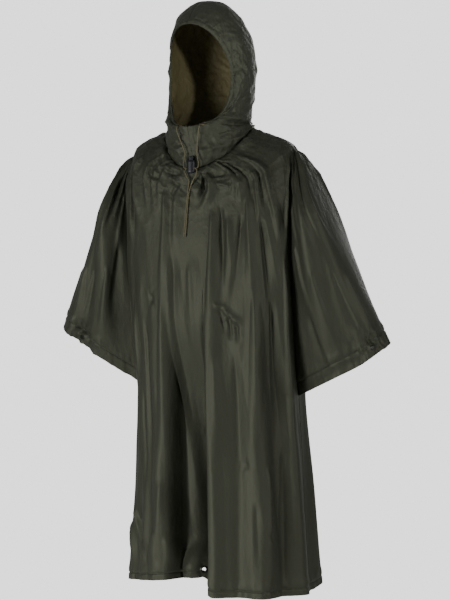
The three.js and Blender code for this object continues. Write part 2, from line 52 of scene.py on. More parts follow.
# Camera: level, in front and a little to the wearer's left, with the whole poncho in an upright frame.
AZIMUTH = np.radians(22)
CAMERA_AWAY = 4.2
CAMERA_HEIGHT = -0.411
CAMERA_RIGHT = 0.0159
camera = bpy.data.objects.new("camera", bpy.data.cameras.new("camera"))
camera.data.lens = 95.1
camera.data.sensor_width = 36
camera.data.clip_end = 50
camera.location = (
    CAMERA_AWAY * np.sin(AZIMUTH) + CAMERA_RIGHT * np.cos(AZIMUTH),
    -CAMERA_AWAY * np.cos(AZIMUTH) + CAMERA_RIGHT * np.sin(AZIMUTH),
    CAMERA_HEIGHT,
)
camera.rotation_euler = (np.pi / 2, 0, AZIMUTH)
scene.collection.objects.link(camera)
scene.camera = camera


# Materials. A colour is given as it looks on a screen, and turned to the linear values that the shader takes.
def linear(code):
    """Each channel c becomes c/12.92 where it is small, and ((c + 0.055) / 1.055) to the power 2.4
    elsewhere."""
    channels = [int(code[i : i + 2], 16) / 255 for i in (1, 3, 5)]
    return (*[c / 12.92 if c <= 0.04045 else ((c + 0.055) / 1.055) ** 2.4 for c in channels], 1.0)


def add(tree, kind, values=None, links=None, **settings):
    """Adds a node, sets its own settings and the values of its sockets, and links sockets to other outputs."""
    made = tree.nodes.new("ShaderNode" + kind)
    for name, value in settings.items():
        setattr(made, name, value)
    for socket, value in (values or {}).items():
        made.inputs[socket].default_value = value
    for socket, source in (links or {}).items():
        tree.links.new(source, made.inputs[socket])
    return made


def new_material(name):
    """An empty material and its node tree."""
    material = bpy.data.materials.new(name)
    material.use_nodes = True
    material.node_tree.nodes.clear()
    return material, material.node_tree


# Sizes in the nylon, in mm: the soft patches of shade, the crinkle, and the step from thread to thread.
PATCH, CRINKLE, THREAD = 200, 25, 0.4


def cloth_material(name, dark, light, through, roughness, gloss):
    """Thin nylon: two close shades in large soft patches, a plain weave, the tiny creases of cloth that was
    packed small, and a crinkle that is strong round the neck, as three layers of bump. A share of the light
    passes through in a warmer colour."""
    material, tree = new_material(name)
    where = add(tree, "TexCoord")
    place = {"Vector": where.outputs["Object"]}
    patches = add(tree, "TexNoise", {"Scale": 1 / (PATCH * MM), "Detail": 3.0}, place)
    two = {6: linear(dark), 7: linear(light)}
    shades = add(tree, "Mix", two, {0: patches.outputs["Fac"]}, data_type="RGBA")
    flow = add(tree, "Mapping", {"Scale": (1 / (CRINKLE * MM), 1 / (CRINKLE * MM), 14)}, place)
    tiny = {"Scale": 1.0, "Detail": 5.0, "Roughness": 0.62}
    creases = add(tree, "TexNoise", tiny, {"Vector": flow.outputs[0]})
    # A wave texture of scale 1 repeats every tenth of pi.
    bands, on_cloth = {"Scale": round(np.pi / 10 / (THREAD * MM))}, {"Vector": where.outputs["UV"]}
    warp = add(tree, "TexWave", bands, on_cloth, bands_direction="X")
    weft = add(tree, "TexWave", bands, on_cloth, bands_direction="Y")
    crossed = {0: warp.outputs["Fac"], 1: weft.outputs["Fac"]}
    weave = add(tree, "Math", None, crossed, operation="MULTIPLY")
    fine = add(tree, "Bump", {"Strength": 0.12, "Distance": 0.0001}, {"Height": weave.outputs[0]})
    creased = {"Height": creases.outputs["Fac"], "Normal": fine.outputs[0]}
    soft = add(tree, "Bump", {"Strength": 0.45, "Distance": 0.004}, creased)
    ridged = {"Scale": 1 / (CRINKLE * MM), "Detail": 3.0, "Roughness": 0.5, "Offset": 0.9, "Gain": 1.5}
    ridges = add(tree, "TexNoise", ridged, place, noise_type="RIDGED_MULTIFRACTAL")
    height = add(tree, "SeparateXYZ", None, place)
    by_height = {"From Min": -0.26, "From Max": -0.04, "To Min": 0.06, "To Max": 0.4}
    near_neck = add(tree, "MapRange", by_height, {"Value": height.outputs["Z"]})
    crinkled = {"Strength": near_neck.outputs[0], "Height": ridges.outputs["Fac"], "Normal": soft.outputs[0]}
    crinkle = add(tree, "Bump", {"Distance": 0.003}, crinkled)
    shine = {"Roughness": roughness, "Specular IOR Level": gloss, "Specular Tint": linear("#bfc0aa")}
    face = add(tree, "BsdfPrincipled", shine, {"Base Color": shades.outputs[2], "Normal": crinkle.outputs[0]})
    thin = add(tree, "BsdfTranslucent", {"Color": linear(through)}, {"Normal": crinkle.outputs[0]})
    both = add(tree, "MixShader", {0: 0.12}, {1: face.outputs[0], 2: thin.outputs[0]})
    add(tree, "OutputMaterial", links={"Surface": both.outputs[0]})
    return material


nylon_face = cloth_material("olive nylon", "#1e201a", "#282a22", "#878470", 0.6, 0.55)
nylon_coating = cloth_material("coated nylon", "#49442f", "#575139", "#a39c7c", 0.6, 0.3)


def plain_material(name, code, roughness, metallic=0.0, grain=0.0, scale=900.0, gloss=0.5):
    """One colour with a fine grain of bump."""
    material, tree = new_material(name)
    place = {"Vector": add(tree, "TexCoord").outputs["Object"]}
    noise = add(tree, "TexNoise", {"Scale": scale, "Detail": 2.0}, place)
    bump = add(tree, "Bump", {"Strength": grain, "Distance": 0.0003}, {"Height": noise.outputs["Fac"]})
    values = {"Base Color": linear(code), "Roughness": roughness, "Metallic": metallic}
    values["Specular IOR Level"] = gloss
    shader = add(tree, "BsdfPrincipled", values, {"Normal": bump.outputs[0]})
    add(tree, "OutputMaterial", links={"Surface": shader.outputs["BSDF"]})
    return material


braid_cord = plain_material("khaki braid", "#45402a", 0.85, 0.0, 0.8, 1400.0)
lock_plastic = plain_material("black nylon plastic", "#0a0b10", 0.5, 0.0, 0.15, gloss=0.25)
dark_steel = plain_material("blackened steel", "#2b2c27", 0.35, 0.9, 0.1)
thread = plain_material("olive thread", "#3a3b2f", 0.7, 0.0, 0.3)


# Making pieces from grids of points in millimetres, rows down the cloth and columns along it.
def normals_of(points, flip=False):
    """The unit cross product of the step down and the step along, which points out of the cloth. flip turns it."""
    normal = np.cross(np.gradient(points, axis=0), np.gradient(points, axis=1))
    normal /= norm(normal, axis=2, keepdims=True) + 1e-12
    return -normal if flip else normal


def make_mesh(name, points, faces, uvs, face_slots, materials):
    """A smooth-shaded mesh object from points in mm, quads, a uv in mm for each point and each face's slot."""
    mesh = bpy.data.meshes.new(name)
    mesh.from_pydata((points * MM).tolist(), [], faces.tolist())
    layer = mesh.uv_layers.new(name="UVMap")
    loops = np.empty(len(mesh.loops), dtype=np.int32)
    mesh.loops.foreach_get("vertex_index", loops)
    layer.data.foreach_set("uv", (uvs[loops] * MM).ravel())
    for material in materials:
        mesh.materials.append(material)
    mesh.polygons.foreach_set("material_index", face_slots.astype(np.int32))
    mesh.polygons.foreach_set("use_smooth", np.ones(len(faces), dtype=bool))
    made = bpy.data.objects.new(name, mesh)
    scene.collection.objects.link(made)
    return made


def shell(name, points, thick, flip, hole=None):
    """A closed wall: the grid, and a copy of it thick mm further in along the normals, joined round the edge.
    hole gives the first and last row and column of a block that is left open. The face and the edge are olive
    nylon, and the inside is coated."""
    rows, columns, _ = points.shape
    count = rows * columns
    inner = points - normals_of(points, flip) * thick
    index = np.arange(count).reshape(rows, columns)
    kept = np.ones((rows - 1, columns - 1), dtype=bool)
    edges = [(index, 1)]
    if hole:
        top, bottom, first, last = hole
        kept[top:bottom, first:last] = False
        edges.append((index[top : bottom + 1, first : last + 1], -1))
    a, b, c, d = (part[kept] for part in (index[:-1, :-1], index[:-1, 1:], index[1:, 1:], index[1:, :-1]))
    face = np.stack([a, d, c, b], -1)
    back = np.stack([a, b, c, d], -1) + count
    edge = []
    for block, way in edges:
        rim = np.concatenate([block[0, :-1], block[:-1, -1], block[-1, :0:-1], block[:0:-1, 0]])[::way]
        after = np.roll(rim, -1)
        edge.append(np.stack([rim, after, after + count, rim + count], -1))
    edge = np.concatenate(edge)
    faces = np.concatenate([face, back, edge])
    if flip:
        faces = faces[:, ::-1]
    slots = np.concatenate([np.zeros(len(face)), np.ones(len(back)), np.zeros(len(edge))])
    along = np.cumsum(norm(np.diff(points, axis=1, prepend=points[:, :1]), axis=2), axis=1)
    down = np.cumsum(norm(np.diff(points, axis=0, prepend=points[:1]), axis=2), axis=0)
    uv = np.stack([along, down], -1).reshape(-1, 2)
    everything = np.concatenate([points.reshape(-1, 3), inner.reshape(-1, 3)])
    return make_mesh(name, everything, faces, np.concatenate([uv, uv]), slots, [nylon_face, nylon_coating])


# Stitches: polyester thread in rows of 3.4 mm steps, which hold the turned hems and the drawcord's tunnel.
STITCH = {"step": 3.4, "long": 2.4, "half": 0.3, "first": 3, "short_of_end": 5}


def lengths(points):
    """The length of a line up to each of its points."""
    return np.concatenate([[0], np.cumsum(norm(np.diff(points, axis=0), axis=1))])


def along_line(places, gone, values):
    """The line's values at places, all as lengths along it: gone is the length at each of its points."""
    return np.stack([np.interp(places, gone, values[:, i]) for i in range(3)], -1)


def stitches(name, lines):
    """One mesh of all the stitches along the lines, each given as its points and normals. A stitch is an
    octahedron whose long axis runs along the line, half sunk in the cloth."""
    verts, count = [], 0
    for points, normals in lines:
        gone = lengths(points)
        starts = np.arange(STITCH["first"], gone[-1] - STITCH["short_of_end"], STITCH["step"])
        a, b = along_line(starts, gone, points), along_line(starts + STITCH["long"], gone, points)
        out = along_line(starts + STITCH["long"] / 2, gone, normals)
        ahead = (b - a) / norm(b - a, axis=1, keepdims=True)
        side = np.cross(out, ahead) * STITCH["half"]
        middle, rise = (a + b) / 2, out * STITCH["half"]
        six = [a, b, middle + side, middle - side, middle + rise, middle - rise]
        verts.append(np.stack(six, 1).reshape(-1, 3))
        count += len(starts)
    corners = np.array([(1, 2, 4), (2, 0, 4), (0, 3, 4), (3, 1, 4), (2, 1, 5), (0, 2, 5), (3, 0, 5), (1, 3, 5)])
    faces = (np.arange(count)[:, None, None] * 6 + corners).reshape(-1, 3)
    points = np.concatenate(verts)
    made = make_mesh(name, points, faces, points[:, :2], np.zeros(len(faces)), [thread])
    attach(made, "poncho")
    return made


def lerp(a, b, t):
    """From a at t 0 to b at t 1, in a straight line."""
    return a + (b - a) * t


def bell(x):
    """A bell curve: e to the power of minus x squared, which is 1 at 0."""
    return np.exp(-(x**2))


def ease(t):
    """0 up to t 0, 1 from t 1, and the smooth curve 3t^2 - 2t^3 between."""
    t = np.clip(t, 0, 1)
    return t * t * (3 - 2 * t)


def signed_power(value, power):
    """The power of the size, with the value's sign."""
    return np.sign(value) * np.abs(value) ** power


def hermite(a, b, start, end, t):
    """The cubic from a to b whose slopes at its ends are start and end."""
    slopes = (t**3 - 2 * t**2 + t) * start + (t**3 - t**2) * end
    return (2 * t**3 - 3 * t**2 + 1) * a + (-2 * t**3 + 3 * t**2) * b + slopes


def through(places, values, at):
    """A smooth curve through the values at the places, whose slope at each is that between its neighbours."""
    places, values = np.asarray(places, float), np.asarray(values, float)
    if places[0] > places[-1]:
        places, values = places[::-1], values[::-1]
    low = np.maximum(np.arange(len(places)) - 1, 0)
    high = np.minimum(np.arange(len(places)) + 1, len(places) - 1)
    slopes = (values[high] - values[low]) / (places[high] - places[low])
    i = np.clip(np.searchsorted(places, at, side="right") - 1, 0, len(places) - 2)
    span = places[i + 1] - places[i]
    t = np.clip((at - places[i]) / span, 0, 1)
    return hermite(values[i], values[i + 1], slopes[i] * span, slopes[i + 1] * span, t)


def noise(x, y, seed):
    """Smooth noise from -1 to 1: random values at whole x and y, blended by the ease curve between them."""
    random = np.random.default_rng(seed).uniform(-1, 1, (64, 64))
    column, row = np.floor(x).astype(int), np.floor(y).astype(int)
    across, up = ease(x - column), ease(y - row)
    corner = lambda i, j: random[(row + j) % 64, (column + i) % 64]
    return lerp(lerp(corner(0, 0), corner(1, 0), across), lerp(corner(0, 1), corner(1, 1), across), up)


def crumple(x, y, seed):
    """Crumpled thin cloth, flat facets between crisp edges: triangle waves from -1 to 1 in six directions,
    each bent by noise and strong only here and there, with a height that grows with its length."""
    random = np.random.default_rng(seed)
    lift = np.zeros(np.broadcast(x, y).shape)
    for i in range(6):
        way, long, start = random.uniform(0, np.pi), random.uniform(0.45, 1.3), random.uniform(0, 9)
        bent = 0.45 * noise(0.9 * x + 5 * i, 0.9 * y, seed + 60)
        phase = (x * np.cos(way) + y * np.sin(way)) / long + start + bent
        here = np.maximum(0, 0.45 + 0.75 * noise(0.5 * x + 7 * i, 0.5 * y, seed + 61)) ** 1.3
        lift += here * long * (1 - 4 * np.abs(phase % 1 - 0.5))
    return 0.8 * lift


def crinkle(x, y, seed):
    """Fine crinkle with narrow ridges: 1 where smooth noise passes through 0, and -1 where it is largest."""
    bent = x + 0.6 * noise(0.7 * y, 0.7 * x, seed + 40)
    rough = noise(bent, y, seed) + 0.4 * noise(2.1 * bent, 2.1 * y, seed + 41)
    return 1 - 2 * np.clip(1.6 * np.abs(rough), 0, 1)


def creases(x, y, table):
    """Creases as thin stiff cloth makes them, in mm. Each row: x and y of both ends, width, rise. Across it,
    a crease is a tent with a crisp edge 1.7 times the rise high and two flat sides, one 2.5 times as wide as
    the other. It is sharp and narrow at its first end, and grows three times as wide and dies away to its
    second."""
    lift = np.zeros_like(x)
    for x0, y0, x1, y1, width, rise in table:
        long = np.hypot(x1 - x0, y1 - y0)
        ux, uy = (x1 - x0) / long, (y1 - y0) / long
        along = ((x - x0) * ux + (y - y0) * uy) / long
        off = (x - x0) * uy - (y - y0) * ux
        wide = 1.6 * width * (0.5 + 1.1 * np.clip(along, 0, 1)) * np.where(off > 0, 0.6, 1.5)
        tent = np.clip(1 - (np.sqrt(off**2 + 1.5) - 1.2) / wide, 0, 1)
        lift += 1.7 * rise * tent * ease(along / 0.18 + 0.3) * ease((1.15 - along) / 0.65)
    return lift


def puckers(x, y, table):
    """Cloth drawn in to a point. Each row: x, y, reach, depth, rays, turn. The middle sinks by 1.5 times the
    depth, and rays 0.45 times as high as the depth run out from it, dying away as a bell curve of the
    distance over the reach."""
    lift = np.zeros_like(x)
    for x0, y0, reach, depth, rays, turn in table:
        away = np.hypot(x - x0, 0.75 * (y - y0)) / reach
        around = np.arctan2(y - y0, x - x0)
        star = np.cos(rays * around + turn + 2.0 * away) * away / (0.35 + away)
        lift += depth * (-1.5 * bell(2.2 * away) + 0.45 * star * bell(away))
    return lift


# The drawcord: 2.8 mm khaki braid. An end comes out of each end of the tunnel at the chin, goes through the
# cord lock, turns under it and hangs below. The route repeats the CAD model's points.
CORD_R = 1.4
# How fast the braid's waves run along the cord, in radians of their phase a mm.
BRAID_TURN = 1.6
LOCK = np.array([-12.0, -160.5, -68.0])
CROSS_GAP = 1.75
TAIL_GAP = 1.9
CHIN_EXITS = {1: (14.14, -159.31, 38.88), -1: (-50.72, -152.5, 38.88)}
LOCK_ROUTE = [(16, 30), (20, 6), (18, -4), (12.5, -6), (0, -6), (-12.5, -6), (-17, -13), (-14, -25), (-7, -36)]
TAIL_ROUTE = [(-21, -156, -135), (-26, -157, -185), (-30, -160, -249)]


def smooth_route(points, count):
    """A centripetal Catmull-Rom curve: the knots are as far apart as the square roots of the distances."""
    points = np.asarray(points, float)
    ends = [2 * points[0] - points[1], *points, 2 * points[-1] - points[-2]]
    route = []
    for i in range(1, len(ends) - 2):
        p = ends[i - 1 : i + 3]
        knots = np.concatenate([[0], np.cumsum([norm(p[k + 1] - p[k]) ** 0.5 for k in range(3)])])
        t = np.linspace(knots[1], knots[2], count, endpoint=False)[:, None]
        blend = lambda a, b, low, high: ((high - t) * a + (t - low) * b) / (high - low)
        step = [blend(p[k], p[k + 1], knots[k], knots[k + 1]) for k in range(3)]
        two = [blend(step[k], step[k + 1], knots[k], knots[k + 2]) for k in range(2)]
        route.extend(blend(*two, knots[1], knots[2]))
    return np.array([*route, points[-1]])


def braided_tube(name, route, radius, sides, strands, material):
    """A closed tube: rings square to the route, kept from twisting by carrying the first ring's direction
    along. The radius rises and sinks by a twentieth, as the product of two cosines that wind round in
    opposite ways: a braid."""
    ahead = np.gradient(route, axis=0)
    ahead /= norm(ahead, axis=1, keepdims=True)
    across = np.cross(ahead[0], (0, 0, 1.0) if abs(ahead[0][2]) < 0.9 else (1.0, 0, 0))
    gone = lengths(route) * BRAID_TURN
    turn = np.linspace(0, 2 * np.pi, sides, endpoint=False)
    rings = []
    for point, tangent, wound in zip(route, ahead, gone):
        across = across - tangent * (across @ tangent)
        across /= norm(across)
        other = np.cross(tangent, across)
        r = radius * (1 + 0.05 * np.cos(strands * turn + wound) * np.cos(strands * turn - wound))
        rings.append(point + (r * np.cos(turn))[:, None] * across + (r * np.sin(turn))[:, None] * other)
    points = np.concatenate([*rings, route[:1], route[-1:]])
    index = np.arange(len(route) * sides).reshape(-1, sides)
    after = np.roll(index, -1, axis=1)
    walls = np.stack([index[:-1], after[:-1], after[1:], index[1:]], -1).reshape(-1, 4)
    first, last = np.full(sides, len(points) - 2), np.full(sides, len(points) - 1)
    caps = np.stack([first, after[0], index[0]], -1), np.stack([last, index[-1], after[-1]], -1)
    faces = walls.tolist() + np.concatenate(caps).tolist()
    mesh = bpy.data.meshes.new(name)
    mesh.from_pydata((points * MM).tolist(), [], faces)
    mesh.materials.append(material)
    mesh.polygons.foreach_set("use_smooth", np.ones(len(faces), dtype=bool))
    made = bpy.data.objects.new(name, mesh)
    scene.collection.objects.link(made)
    return made


for side, sign in (("left", 1), ("right", -1)):
    start = np.array(CHIN_EXITS[sign])
    guide = [start + (0, -4, -2), start + (0, -11, -12)]
    guide += [LOCK + (sign * x, sign * CROSS_GAP, z) for x, z in LOCK_ROUTE]
    guide += [np.array([x - sign * TAIL_GAP, y, z]) for x, y, z in TAIL_ROUTE]
    route = smooth_route(guide, 9)
    length = lengths(route)[-1] * MM
    cord = braided_tube(f"hood_cord_{side}", route, CORD_R, 12, 4, braid_cord)
    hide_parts(f"drawcord_{side}")
    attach(cord, "poncho")

# The cord lock keeps its CAD solids: moulded plastic in a barrel and a sprung plunger.
hard = {"cord_lock_barrel": lock_plastic, "cord_lock_plunger": lock_plastic}
# So do the rolled eyelet and the stud caps, which are steel with a dark finish.
hard |= {"hem_eyelet": dark_steel, "cuff_stud_left": dark_steel, "cuff_stud_right": dark_steel}
for name, material in hard.items():
    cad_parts[name].data.materials.clear()
    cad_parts[name].data.materials.append(material)


# The body: a front and a back panel of thin nylon, each a wide piece with straight sides, seamed at the
# shoulders and down the sides below the armholes. It domes from the neck seam over the shoulders and hangs in
# soft folds to the hem.
HEM_Z = -1165
BACK_RISE = 34
SHOULDER_Z = -20
UNDERARM_Z = {"left": -660, "right": -640}
ARMHOLE_HALF = 74
CHEST_AT = 0.17
SECTION_Z = [-20, -90, -240, -420, -650, -900, -1170]
SECTION = {
    "half": [220, 226, 228, 226, 220, 230, 249],
    "front": [118, 136, 151, 157, 161, 171, 186],
    "back": [82, 112, 133, 142, 146, 158, 172],
    "middle": [-16, -12, -4, 0, 4, 8, 10],
    "swing": [0, 0, 0, 0, 2, 8, 10],
}
# Round the body from centre front, + towards the wearer's left: angle, lean, width in degrees, rise at the
# hem, Z of the top.
FOLDS = [
    (-70, 3, 8, 13, -260), (-47, 3, 5, 8, -330), (-28, -2, 8, 17, -180), (-11, -3, 7, 8, -170),
    (8, 0, 5, 13, -200), (20, 4, 5, -9, -240), (37, 2, 9, 17, -170), (55, 3, 7, -11, -230),
    (72, 4, 8, 14, -260), (90, 0, 8, -8, -700), (108, 0, 9, 16, -300), (127, 3, 7, -9, -260),
    (143, 2, 9, 18, -180), (163, 0, 7, -10, -220), (179, -2, 9, 15, -200), (197, -1, 7, -10, -200),
    (214, -3, 9, 18, -170), (232, -2, 7, -9, -240), (250, 0, 9, 15, -280), (269, 0, 8, -7, -700),
]
MM_PER_DEGREE = 3.9
LAP = {"angle": 3.2, "wide": 2.4, "deep": 92, "fades": 24, "starts": -330, "lift": 8, "side": 30, "spread": 75}
# Behind the lap the cloth sinks into a trough that ends under the lap's edge and stays clear of the eyelet.
TROUGH = {"from": -23, "border": 4, "deep": 58, "starts": -430, "grows": 330, "eyelet_z": -1106, "clear": 62}
# The lap's lower corner is rounded: the hem rises there, a degree beyond the lap's edge.
CORNER = {"rise": 9, "beyond": 1, "wide": 2.2}
NECK = {"half": 119, "front": 114, "back": 108, "middle": -30, "swing": -10, "z": 34, "dip": 106, "nape": 8}
BODY_THICK = 0.8
STITCHED = 17.3
EYELET_ANGLE, EYELET_UP, EYELET_BED = -2.045, 26, 7.5


def apart(a, b):
    """Degrees from b to a round the body, the short way."""
    return (a - b + 180) % 360 - 180


def armhole_at(z, left):
    """Half the armhole's width: the sine of pi times the share of its height to the 0.6th, to the 0.8th."""
    bottom = np.where(left, UNDERARM_Z["left"], UNDERARM_Z["right"])
    share = np.clip((SHOULDER_Z - z) / (SHOULDER_Z - bottom), 0, 1)
    return ARMHOLE_HALF * np.sin(np.pi * share**0.6) ** 0.8


def lap_at(angle):
    """0 on the wearer's left of the lap, 1 just behind it, dying away to the wearer's right."""
    behind = LAP["angle"] - apart(angle, 0)
    into = ease((behind + LAP["wide"]) / (2 * LAP["wide"]))
    return into * np.exp(-np.maximum(0, behind) / LAP["fades"])


def hem_at(angle):
    """Z of the hem, which is higher on the wearer's right of the lap and rounded at the lap's corner."""
    behind = LAP["angle"] - apart(angle, 0)
    side = np.where(behind < 0, 0, ease(behind / 6) * bell(behind / LAP["spread"]))
    at_back = BACK_RISE * ease(-np.cos(np.radians(angle)) / 0.8)
    from_corner = (apart(angle, 0) - LAP["angle"] - CORNER["beyond"]) / CORNER["wide"]
    corner = CORNER["rise"] * bell(from_corner)
    return HEM_Z + LAP["lift"] * lap_at(angle) + LAP["side"] * side + at_back + corner


def fold_at(angle, z):
    """How far out the hanging folds stand: bell curves round the body that grow on the way down, less the lap
    and the trough behind it."""
    out = np.zeros(np.broadcast(angle, z).shape)
    for at, lean, wide, rise, starts in FOLDS:
        down = ease((starts - z) / (starts - HEM_Z + 1))
        strength = ease((starts - z) / 260) * (0.35 + 0.65 * down)
        out += rise * strength * bell(apart(angle, at + lean * down) / wide)
    out -= LAP["deep"] * lap_at(angle) * ease((LAP["starts"] - z) / (LAP["starts"] - HEM_Z)) ** 1.2
    away = apart(angle, 0)
    inside = ease((away - TROUGH["from"]) / TROUGH["border"])
    inside = inside * ease((LAP["angle"] + LAP["wide"] - away) / (2 * LAP["wide"]))
    to_eyelet = np.hypot((away - EYELET_ANGLE) * MM_PER_DEGREE, z - TROUGH["eyelet_z"])
    depth = TROUGH["deep"] * ease((TROUGH["starts"] - z) / TROUGH["grows"])
    return out - depth * inside * (1 - np.exp(-((to_eyelet / TROUGH["clear"]) ** 3)))


def section(angle, z, back):
    """A level section: two halves of a superellipse of power 2/0.86, with the armhole between them."""
    at = {key: through(SECTION_Z, values, z) for key, values in SECTION.items()}
    depth = at["back"] if back else at["front"]
    armhole = armhole_at(z, apart(angle, 0) >= 0)
    across, ahead = np.sin(np.radians(angle)), np.abs(np.cos(np.radians(angle)))
    out = fold_at(angle, z)
    reach = armhole + (depth - armhole) * ahead**0.86 + out * ahead
    x = at["swing"] + at["half"] * signed_power(across, 0.86) + out * across
    return np.stack(np.broadcast_arrays(x, at["middle"] + (reach if back else -reach), z), -1)


def neck_ring(angle):
    """The neck seam: an oval whose Z dips with the cosine to the power 1.5 at the front."""
    ahead = np.cos(np.radians(angle))
    y = NECK["middle"] - ahead * np.where(ahead > 0, NECK["front"], NECK["back"])
    z = NECK["z"] - NECK["dip"] * np.maximum(0, ahead) ** 1.5 + NECK["nape"] * np.maximum(0, -ahead) ** 1.5
    around = apart(angle, 180) + 180
    wave = noise(around / 17, 0 * around, 31) + 0.5 * noise(around / 8, 0 * around, 32)
    out = 1 + 2.5 * wave / NECK["half"]
    x = NECK["half"] * np.sin(np.radians(angle)) * out
    y = NECK["middle"] + (y - NECK["middle"]) * out
    return np.stack([NECK["swing"] + x, y, z + 3.0 * noise(around / 13, 0 * around, 33)], -1)


def chest_z(angle):
    """Z at which the yoke turns into the hanging cloth."""
    ahead = np.cos(np.radians(angle))
    return SHOULDER_Z - np.where(ahead > 0, 122, 110) * np.abs(ahead) ** 1.4


def body(angle, v, back):
    """The body's surface. Above CHEST_AT a quarter of an ellipse from the neck seam out to the chest; below,
    the sections."""
    chest = chest_z(angle)
    z = lerp(chest, hem_at(angle), np.maximum(0, v - CHEST_AT) / (1 - CHEST_AT))
    hanging = section(angle, z, back)
    w = np.clip(v / CHEST_AT, 0, 1)
    ring = neck_ring(angle)
    end = section(angle, chest, back)
    out = np.sin(w * np.pi / 2)
    fall = lerp(1 - np.cos(w * np.pi / 2), w, 0.5 + 0.4 * np.sin(np.radians(angle)))
    share = np.stack([out, out, fall], -1)
    return np.where((v >= CHEST_AT)[..., None], hanging, lerp(ring, end, share))


# The grid's row that is sewn, counted from the edge, in the hem and in the cuffs.
HEM_STITCHED, CUFF_STITCHED = -8, -11
# Depth of the turned hem and of the turned cuffs, and how far up the rows keep their height above the hem.
HEM_DEEP, CUFF_DEEP, ROWS_LEVEL = 16, 34, 965


def hem_rows(count, upper):
    """Heights above the edge in mm, close together at the turned hem and its stitches, then even up to upper."""
    close = [0, 1.5, 4, 8, 12, 15, 16.3, STITCHED, 18.3, *(EYELET_UP + np.linspace(-5.3, 5.3, 5)), 36, 40]
    return np.array([*close, *np.linspace(46, upper, count)])[::-1]


def hem_relief(along, up, seed, deep):
    """A turned hem: a double edge, a groove where the stitches draw it in, and puckers that swell above it."""
    double = 0.5 * (1 - ease((up - deep + 0.5) / 2))
    groove = -1.7 * bell((up - deep - 1.3) / 2.0)
    drawn = noise(along / 12, up / 60, seed) + 0.6 * noise(along / 6, up / 60, seed + 1)
    swell = (1.1 + 2.1 * drawn) * bell((up - deep - 13) / 12)
    return double + groove + swell + 1.8 * drawn * (1 - ease((up - deep) / 3))


# Creases of the front, read off the photo: angle and Z of both ends, then width and rise in mm.
FRONT_CREASES = [
    (25, -48, 30, -135, 5, -4.5), (29, -58, 27, -160, 5, 4.5), (31, -66, 37, -160, 5, -4),
    (24, -92, 21, -150, 5, 3.6), (38, -78, 45, -230, 8, 5), (42, -72, 49, -200, 6, -4),
    (9, -84, 3, -176, 6, 6), (5, -92, 1, -168, 6, -5), (8, -84, 19, -60, 4, 3.6),
    (10, -97, 23, -86, 5, -3.2), (12, -114, 21, -122, 5, 3), (-14, -90, -6, -106, 5, 3.4),
    (-23, -78, -12, -98, 5, -3.2), (-31, -64, -18, -80, 5, 3.4), (-37, -88, -24, -98, 5, -3),
    (-11, -108, -15, -150, 5, -3.4), (10, -424, 18, -442, 6, 5), (16, -438, 23, -460, 6, 5),
    (21, -456, 28, -474, 6, 4.5), (14, -452, 17, -492, 4, -4), (20, -470, 21, -512, 4, -4),
    (25, -484, 26, -520, 4, -3.4), (-20, -120, -22, -420, 9, 5), (-22, -400, -27, -900, 13, 5),
    (-27, -880, -31, -1110, 13, 4), (8, -180, 7, -480, 7, 5), (13, -170, 16, -400, 8, -6),
    (19, -200, 17, -420, 9, 4), (28, -200, 22, -420, 8, -5), (33, -150, 37, -420, 15, 6),
    (38, -400, 40, -800, 20, 6), (44, -200, 56, -430, 13, -7), (56, -420, 63, -800, 17, -7),
    (63, -790, 60, -1150, 17, -5), (43, -40, 70, -290, 13, 7), (80, -50, 76, -290, 10, 6),
    (72, -300, 73, -1100, 13, 5), (-57, -28, -49, -225, 12, 6), (-66, -50, -52, -230, 9, -5),
    (-80, -70, -60, -240, 11, 4), (-44, -30, -36, -170, 7, 3.4), (-35, -36, -29, -180, 7, 3.4),
    (-27, -50, -24, -170, 7, 3), (-6, -95, 3, -165, 8, 4), (10, -90, 5, -165, 8, 4),
    (24, -50, 28, -160, 8, 3.2), (-14, -300, -12, -760, 15, -6), (-12, -120, -13, -300, 10, 3),
    (-3, -300, -2, -560, 12, 3.5), (-40, -470, -38, -900, 13, -4), (-55, -420, -58, -1000, 15, 4.5),
    (-47, -640, -46, -980, 10, -3), (-70, -400, -72, -900, 14, -3.5), (10, -560, 12, -820, 11, 3),
    (24, -560, 27, -1000, 15, -4), (46, -840, 45, -1110, 13, 3), (35, -930, 36, -1120, 10, -3),
    (-64, -960, -50, -1080, 8, 5), (-58, -985, -40, -1085, 7, -4), (-70, -1000, -58, -1120, 8, 4),
    (-33, -1010, -37, -1100, 9, 4), (-24, -1030, -20, -1110, 8, 3),
]
FRONT_PUCKERS = [
    (14, -440, 16, 4.5, 5, 0.5), (20, -462, 15, 5, 5, 1.8), (25, -480, 16, 4.5, 5, 3),
    (-31, -408, 20, 4.5, 6, 1), (0, -759, 17, 3.6, 5, 2), (29, -829, 20, 3, 5, 0.3),
    (46, -1010, 16, 2.4, 5, 1.2),
]
BACK_CREASES = [
    (112, -40, 122, -240, 12, 5), (104, -60, 108, -300, 10, -4), (128, -30, 134, -190, 9, 4),
    (141, -60, 143, -330, 12, 5), (152, -90, 155, -420, 12, -5), (165, -120, 163, -360, 10, 4),
    (178, -100, 180, -500, 14, 5), (190, -130, 188, -400, 11, -4), (203, -80, 205, -350, 11, 5),
    (219, -60, 216, -280, 10, 4), (231, -40, 226, -200, 9, 4), (247, -50, 238, -260, 12, 5),
    (256, -70, 252, -310, 10, -4), (118, -380, 120, -800, 17, -6), (135, -480, 134, -1000, 17, 6),
    (158, -500, 160, -1050, 17, 5), (171, -440, 170, -860, 15, -6), (186, -560, 184, -1080, 16, 5),
    (208, -460, 210, -940, 17, -5), (224, -520, 226, -1040, 17, 6), (243, -430, 240, -880, 15, 5),
    (148, -940, 150, -1110, 10, 3), (196, -960, 197, -1110, 10, -3), (232, -940, 236, -1110, 10, 3),
]
